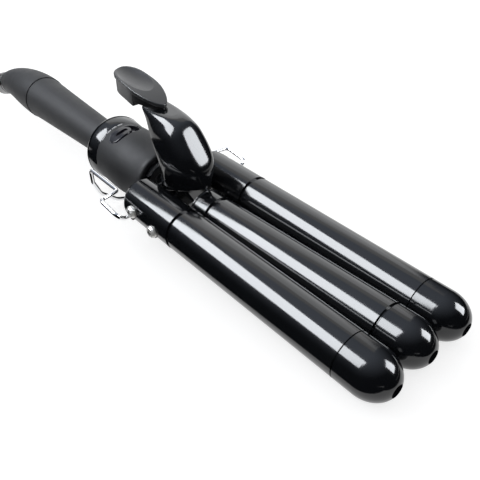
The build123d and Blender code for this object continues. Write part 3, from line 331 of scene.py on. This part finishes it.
# The spring is cut at its middle, with a hair's gap between its two ends.
spring_gap = 0.00004
for name, body, arm_end in (("spring_arm_end", "clamp", True), ("spring_fork_end", "handle", False)):
    half_form = bmesh.new()
    half_form.from_mesh(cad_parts["clamp_spring"].data)
    bmesh.ops.remove_doubles(half_form, verts=half_form.verts, dist=weld_distance)
    cut = bmesh.ops.bisect_plane(
        half_form,
        geom=half_form.verts[:] + half_form.edges[:] + half_form.faces[:],
        plane_co=(0, spring_gap / 2 if arm_end else -spring_gap / 2, 0),
        plane_no=(0, 1, 0),
        clear_inner=arm_end,
        clear_outer=not arm_end,
    )["geom_cut"]
    cut_edges = [part for part in cut if isinstance(part, bmesh.types.BMEdge)]
    bmesh.ops.holes_fill(half_form, edges=cut_edges)
    half = piece_of(name, half_form, screw_steel)
    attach(half, body)
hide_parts("clamp_spring")

# ---- Clamp lever ----
# The thumb lever is a hollow gloss moulding, open behind, whose blunt front rolls over to two
# thin rims. Two lugs inside it are screwed to the clamp arm.
lever_wall = 0.0018
edge_round = 0.0003
sharp_angle = math.radians(50)
lug_size = (0.007, 0.0027, 0.0055)
lug_x, lug_y, lug_z = 0.0720, 0.00845, 0.0294
# The shell's sections from its top down: the rims' place along and up, the half width, and the
# front's place along and up, in millimetres, and how square the section is.
lever_rows = [
    (-64.0, 46.25, 6.0, -42.0, 46.25, 2.5),
    (-64.1, 45.60, 8.0, -37.2, 45.70, 2.9),
    (-57.4, 41.2, 10.1, -32.4, 43.6, 3.2),
    (-48.7, 32.2, 13.2, -27.4, 38.3, 3.2),
    (-41.3, 20.6, 14.2, -16.9, 25.0, 3.0),
    (-44.0, 5.0, 11.6, -13.6, 14.5, 2.4),
    (-46.0, -1.0, 11.2, -13.4, 11.2, 2.3),
]
row_steps = 8
section_steps = 36
# How far the barrels are tilted, and moved in millimetres, where the tool lies on the table
barrel_tilt = math.radians(4.537442)
tool_forward = 104.1
tool_lift = 22.5936


def lever_row(place):
    """The shell's measures at a place between its rows, on a smooth curve through them."""
    last = len(lever_rows) - 1
    row = min(int(place), last - 1)
    share = place - row
    around = [lever_rows[max(0, min(index, last))] for index in range(row - 1, row + 3)]
    measures = []
    for first, second, third, fourth in zip(*around):
        slope = third - first
        bend = 2 * first - 5 * second + 4 * third - fourth
        twist = 3 * second - first - 3 * third + fourth
        measures.append(0.5 * (2 * second + slope * share + bend * share * share + twist * share**3))
    return measures


def tilted(along, up):
    """A place along and above the middle barrel's line, turned by the tool's tilt on the table."""
    forward = along * math.cos(barrel_tilt) + up * math.sin(barrel_tilt)
    return forward, up * math.cos(barrel_tilt) - along * math.sin(barrel_tilt)


def lever_section(form, place):
    """One section of the shell as a row of edges from rim to rim."""
    rim_along, rim_up, half_width, front_along, front_up, square = lever_row(place)
    corners = []
    for step in range(section_steps + 1):
        turn = math.pi * step / section_steps
        across = math.copysign(abs(math.cos(turn)) ** (2 / square), math.cos(turn)) * half_width
        share = math.sin(turn) ** (2 / square)
        along = rim_along + (front_along - rim_along) * share
        forward, height = tilted(along, rim_up + (front_up - rim_up) * share)
        corner = Vector((forward + tool_forward, across, height + tool_lift)) / 1000
        corners.append(form.verts.new(corner))
    return [form.edges.new(pair) for pair in zip(corners, corners[1:])]


lever_form = bmesh.new()
section_count = row_steps * (len(lever_rows) - 1) + 1
sections = [lever_section(lever_form, index / row_steps) for index in range(section_count)]
for upper, lower in zip(sections, sections[1:]):
    bmesh.ops.bridge_loops(lever_form, edges=upper + lower)
bmesh.ops.contextual_create(lever_form, geom=sections[0])
bmesh.ops.recalc_face_normals(lever_form, faces=lever_form.faces)
bmesh.ops.solidify(lever_form, geom=lever_form.faces[:], thickness=lever_wall)
# The flat roof is the one face with more than four corners.
for face in lever_form.faces:
    face.smooth = len(face.verts) == 4
sharp_edges = [edge for edge in lever_form.edges if edge.calc_face_angle(0) > sharp_angle]
bmesh.ops.bevel(
    lever_form,
    geom=sharp_edges,
    offset=edge_round,
    segments=2,
    profile=0.5,
    affect="EDGES",
    material=-1,
)
for side in (1, -1):
    lug = bmesh.ops.create_cube(lever_form, size=1.0)["verts"]
    bmesh.ops.scale(lever_form, vec=lug_size, verts=lug)
    bmesh.ops.translate(lever_form, vec=(lug_x, side * lug_y, lug_z), verts=lug)
thumb_lever = piece_of("thumb_lever", lever_form, gloss_moulding)
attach(thumb_lever, "clamp")
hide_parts("lever_shell")
dress(gloss_moulding, "clamp_arm")

# ---- Thumb pad ----
# An egg-shaped satin plate, arched and dished for the thumb, with a hood at its rear. A darker
# base fills the wedge between it and the lever's flat top.
pad_satin = finish_for(
    "pad_satin", (0.022, 0.023, 0.026), (0.028, 0.029, 0.032),
    patch=90, roughness=0.32, spread=0.04, grain=1400, relief=0.00001,
)
pad_strip = finish_for(
    "pad_strip", (0.008, 0.008, 0.009), (0.012, 0.012, 0.013),
    patch=90, roughness=0.30, spread=0.04, grain=1400, relief=0.00001,
)
dress(pad_satin, "thumb_pad")
dress(pad_strip, "pad_base")

# ---- Works in the handle ----
# The control board, with its slide switch and fuse, sits on the front plate's rails. The wires
# run back through the core tube to the lead's terminal block.
core_nylon = finish_for(
    "core_nylon", (0.20, 0.20, 0.21), (0.25, 0.25, 0.26),
    patch=150, roughness=0.5, spread=0.06, grain=1200, relief=0.00003,
)
board_laminate = finish_for(
    "board_laminate", (0.02, 0.12, 0.05), (0.03, 0.15, 0.07),
    patch=300, roughness=0.35, spread=0.06, grain=1500, relief=0.00001,
)
fuse_tin = finish_for(
    "fuse_tin", (0.60, 0.55, 0.45), (0.70, 0.66, 0.56),
    patch=300, roughness=0.3, spread=0.06, grain=1500, relief=0.00001, metal=1.0,
)
dress(core_nylon, "core_tube", "terminal_block", "slide_switch")
dress(board_laminate, "control_board")
dress(fuse_tin, "thermal_fuse")

# ---- Housing and collar ----
# The housing is a barrel-shaped shell with a spark-eroded matt skin, and the collar behind it
# is glossy. A bright ring in two arcs lies on the fork's flange, in the housing's mouth.
matt_shell = finish_for(
    "matt_shell", (0.0085, 0.0088, 0.0105), (0.0120, 0.0124, 0.0145),
    patch=120, roughness=0.58, spread=0.05, grain=1800, relief=0.00003, ior=1.38,
)
ring_steel = finish_for(
    "ring_steel", (0.50, 0.50, 0.51), (0.58, 0.58, 0.59),
    patch=300, roughness=0.42, spread=0.05, grain=2500, relief=0.00001, metal=1.0,
)
dress(matt_shell, "front_housing", "front_plate")
dress(gloss_moulding, "collar")
dress(ring_steel, "trim_ring")

# ---- Switch ----
# An oval bezel is let into the housing's rear edge, and a slider with a scoop for the fingertip
# runs round the handle in it. A small lamp lies beyond it.
bezel_plastic = finish_for(
    "bezel_plastic", (0.020, 0.019, 0.026), (0.028, 0.027, 0.035),
    patch=200, roughness=0.26, spread=0.05, grain=1400, relief=0.00001, ior=1.45,
)
knob_plastic = finish_for(
    "knob_plastic", (0.012, 0.011, 0.017), (0.017, 0.016, 0.023),
    patch=200, roughness=0.20, spread=0.05, grain=1400, relief=0.00001, ior=1.45,
)
lamp_red = finish_for(
    "lamp_red", (0.35, 0.05, 0.04), (0.42, 0.07, 0.05),
    patch=300, roughness=0.15, spread=0.03, grain=1400, relief=0.000004,
)
dress(bezel_plastic, "switch_bezel")
dress(knob_plastic, "slider_knob")
dress(lamp_red, "lamp_lens")

# ---- Setting marks ----
# The slider's settings, printed in pale ink on the housing in a row that runs round the handle
# beside the bezel.
mark_letter_height = 0.0022
mark_half_thickness = 0.00002
mark_lift = 0.000022
# The row's place along the tool, the handle's radius there and its axis, and the angle of the
# row's middle, up from the right-hand side
mark_along = -0.10465
mark_radius = 0.0212
handle_up = -0.0049
mark_middle = math.radians(68)
mark_ink = finish_for(
    "mark_ink", (0.78, 0.78, 0.80), (0.84, 0.84, 0.86),
    patch=500, roughness=0.45, spread=0.05, grain=2500, relief=0.000002,
)
mark_text = bpy.data.curves.new("setting_marks", "FONT")
mark_text.body = "OFF 160 180 200"
mark_text.size = mark_letter_height
mark_text.offset = 0.00008
mark_text.space_character = 1.15
mark_text.align_x = "CENTER"
mark_text.resolution_u = 3
mark_text.extrude = mark_half_thickness
flat_marks = bpy.data.objects.new("flat_marks", mark_text)
bpy.context.scene.collection.objects.link(flat_marks)
bpy.context.view_layer.update()
flat_mesh = bpy.data.meshes.new_from_object(flat_marks)
marks_form = bmesh.new()
marks_form.from_mesh(flat_mesh)
bpy.data.objects.remove(flat_marks)
bpy.data.meshes.remove(flat_mesh)
bmesh.ops.remove_doubles(marks_form, verts=marks_form.verts, dist=weld_distance)
# The flat letters are bent round the handle, and then laid on the housing's skin.
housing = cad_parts["front_housing"]
for vertex in marks_form.verts:
    angle = mark_middle + vertex.co.x / mark_radius
    forward, height = tilted(mark_along - vertex.co.y, handle_up + mark_radius * math.sin(angle))
    across = -mark_radius * math.cos(angle)
    bent = Vector((forward + tool_forward / 1000, across, height + tool_lift / 1000))
    skin, outward = housing.closest_point_on_mesh(bent)[1:3]
    vertex.co = skin + outward * (vertex.co.z + mark_lift)
setting_marks = piece_of("setting_marks", marks_form, mark_ink)
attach(setting_marks, "handle")

# ---- Grip ----
# The grip and the rear cap, plugged into it behind a narrow groove, are moulded shells under
# one soft-touch paint, matt all over.
soft_paint = finish_for(
    "soft_paint", (0.0125, 0.0128, 0.0150), (0.0165, 0.0170, 0.0195),
    patch=110, roughness=0.60, spread=0.05, grain=2200, relief=0.00003, ior=1.42,
)
dress(soft_paint, "grip", "rear_cap")

# ---- Wire stand ----
# One length of chromed spring wire, bent to a bail. Its ends are sprung into the outer holders
# and turn in them.
chrome_plate = finish_for(
    "chrome_plate", (0.72, 0.72, 0.73), (0.80, 0.80, 0.81),
    patch=300, roughness=0.09, spread=0.03, grain=2500, relief=0.000002, metal=1.0,
)
dress(chrome_plate, "wire_stand")

# ---- Table, flags and lamps ----
# A white table under a dome of dark flags, which only reflections show. The dome gleams faintly
# overhead and is open to a white wall at the rear left. Black cards lie on the table at the
# right and in front.
table_reach = 12.0
table_grey = 0.60
table_glow = 0.72
dome_radius = 1.6
dome_centre = Vector((0.10, 0.0, 0.0))
# The opening, in degrees round from the front and up from the table
opening_from = 107
opening_to = 172
opening_top = 62
# The dome's gleam at a place is the first times its height squared, less the second times its
# height and its way forward.
overhead_gleam = 0.33
front_shade = 0.20
gleam_colour = (0.84, 0.93, 1.10, 1)
# Each card's corners and its height over the table
right_card = ((-0.10, -0.050), (0.40, -0.050), (1.70, -1.60), (-1.40, -1.60))
right_card_height = 0.0004
front_card = ((0.285, -0.050), (1.70, -0.60), (1.70, 0.60), (0.285, 0.30))
front_card_height = 0.0005


def worked_out(tree, operation, first, second):
    """The result of a Math node from a socket and another socket or a number."""
    node = tree.nodes.new("ShaderNodeMath")
    node.operation = operation
    tree.links.new(first, node.inputs[0])
    if isinstance(second, float):
        node.inputs[1].default_value = second
    else:
        tree.links.new(second, node.inputs[1])
    return node.outputs[0]


table_white = bpy.data.materials.new("table_white")
table_white.use_nodes = True
tree = table_white.node_tree
tree.nodes.clear()
paper = tree.nodes.new("ShaderNodeBsdfDiffuse")
paper.inputs["Color"].default_value = (table_grey, table_grey, table_grey, 1)
glow = tree.nodes.new("ShaderNodeEmission")
glow.inputs["Color"].default_value = (1, 1, 1, 1)
ray = tree.nodes.new("ShaderNodeLightPath")
seen = worked_out(tree, "MAXIMUM", ray.outputs["Is Camera Ray"], ray.outputs["Is Glossy Ray"])
both_layers = tree.nodes.new("ShaderNodeAddShader")
table_out = tree.nodes.new("ShaderNodeOutputMaterial")
tree.links.new(worked_out(tree, "MULTIPLY", seen, table_glow), glow.inputs["Strength"])
tree.links.new(paper.outputs[0], both_layers.inputs[0])
tree.links.new(glow.outputs[0], both_layers.inputs[1])
tree.links.new(both_layers.outputs[0], table_out.inputs["Surface"])
table_form = bmesh.new()
bmesh.ops.create_grid(table_form, x_segments=1, y_segments=1, size=table_reach)
table = piece_of("table", table_form, table_white)

flag_black = bpy.data.materials.new("flag_black")
flag_black.use_nodes = True
tree = flag_black.node_tree
tree.nodes.clear()
spot = tree.nodes.new("ShaderNodeNewGeometry")
axes = tree.nodes.new("ShaderNodeSeparateXYZ")
tree.links.new(spot.outputs["Position"], axes.inputs[0])
ahead, high = axes.outputs["X"], axes.outputs["Z"]
overhead = worked_out(tree, "MULTIPLY", worked_out(tree, "MULTIPLY", high, high), overhead_gleam)
shade = worked_out(tree, "MULTIPLY", worked_out(tree, "MULTIPLY", ahead, high), front_shade)
gleam = worked_out(tree, "SUBTRACT", overhead, shade)
gleam.node.use_clamp = True
ceiling = tree.nodes.new("ShaderNodeEmission")
ceiling.inputs["Color"].default_value = gleam_colour
flag_out = tree.nodes.new("ShaderNodeOutputMaterial")
tree.links.new(gleam, ceiling.inputs["Strength"])
tree.links.new(ceiling.outputs[0], flag_out.inputs["Surface"])
flag_form = bmesh.new()
bmesh.ops.create_uvsphere(flag_form, u_segments=48, v_segments=24, radius=dome_radius)
open_faces = []
for face in flag_form.faces:
    out = face.calc_center_median().normalized()
    azimuth = math.degrees(math.atan2(out.y, out.x))
    rise = math.degrees(math.asin(out.z))
    if rise < 0 or (opening_from < azimuth < opening_to and rise < opening_top):
        open_faces.append(face)
bmesh.ops.delete(flag_form, geom=open_faces, context="FACES")
bmesh.ops.translate(flag_form, verts=flag_form.verts, vec=dome_centre)
for corners, height in ((right_card, right_card_height), (front_card, front_card_height)):
    flag_form.faces.new([flag_form.verts.new((*corner, height)) for corner in corners])
black_flags = piece_of("black_flags", flag_form, flag_black)
black_flags.visible_camera = False
black_flags.visible_diffuse = False
black_flags.visible_shadow = False

# Two softboxes show in reflections only: the strip draws the long highlight down the barrels,
# and the spot draws the small ones on the tips. The fill lights the matt parts, and the back
# softbox does both.
lamp_aim = Vector((0.10, 0.0, 0.02))
lamp_colour = (0.93, 0.96, 1.0)


def softbox(name, azimuth, elevation, distance, width, height, power, lean=0.0):
    """A rectangular lamp that faces the middle of the iron, leaning by lean degrees in its own plane."""
    lamp_data = bpy.data.lights.new(name, "AREA")
    lamp_data.shape = "RECTANGLE"
    lamp_data.size = width
    lamp_data.size_y = height
    lamp_data.energy = power
    lamp_data.color = lamp_colour
    lamp = bpy.data.objects.new(name, lamp_data)
    turn, lift = math.radians(azimuth), math.radians(elevation)
    away = Vector((math.cos(turn) * math.cos(lift), math.sin(turn) * math.cos(lift), math.sin(lift)))
    lamp.location = lamp_aim + away * distance
    lamp.rotation_mode = "QUATERNION"
    in_plane = Matrix.Rotation(math.radians(lean), 3, "Z").to_quaternion()
    lamp.rotation_quaternion = away.to_track_quat("Z", "Y") @ in_plane
    bpy.context.scene.collection.objects.link(lamp)
    return lamp


strip_softbox = softbox("strip_softbox", -126, 49, 1.0, width=0.66, height=0.60, power=20, lean=11)
strip_softbox.visible_diffuse = False
spot_softbox = softbox("spot_softbox", 40, 32, 1.0, width=0.44, height=0.54, power=12)
spot_softbox.visible_diffuse = False
side_fill = softbox("side_fill", -106, 50, 1.0, width=1.60, height=0.75, power=3)
side_fill.visible_glossy = False
softbox("back_softbox", 142, 28, 1.6, width=2.0, height=1.2, power=5)

# The world is white to the camera and in reflections, and lights the object less.
world_light = 0.45
world = bpy.data.worlds.new("studio_white")
bpy.context.scene.world = world
world.use_nodes = True
tree = world.node_tree
sky = tree.nodes["Background"]
sky.inputs["Color"].default_value = (1, 1, 1, 1)
ray = tree.nodes.new("ShaderNodeLightPath")
seen = worked_out(tree, "MAXIMUM", ray.outputs["Is Camera Ray"], ray.outputs["Is Glossy Ray"])
seen = worked_out(tree, "MAXIMUM", seen, ray.outputs["Is Transmission Ray"])
level = tree.nodes.new("ShaderNodeMapRange")
level.inputs["To Min"].default_value = world_light
level.inputs["To Max"].default_value = 1.0
tree.links.new(seen, level.inputs["Value"])
tree.links.new(level.outputs["Result"], sky.inputs["Strength"])
bpy.context.scene.view_settings.view_transform = "Standard"
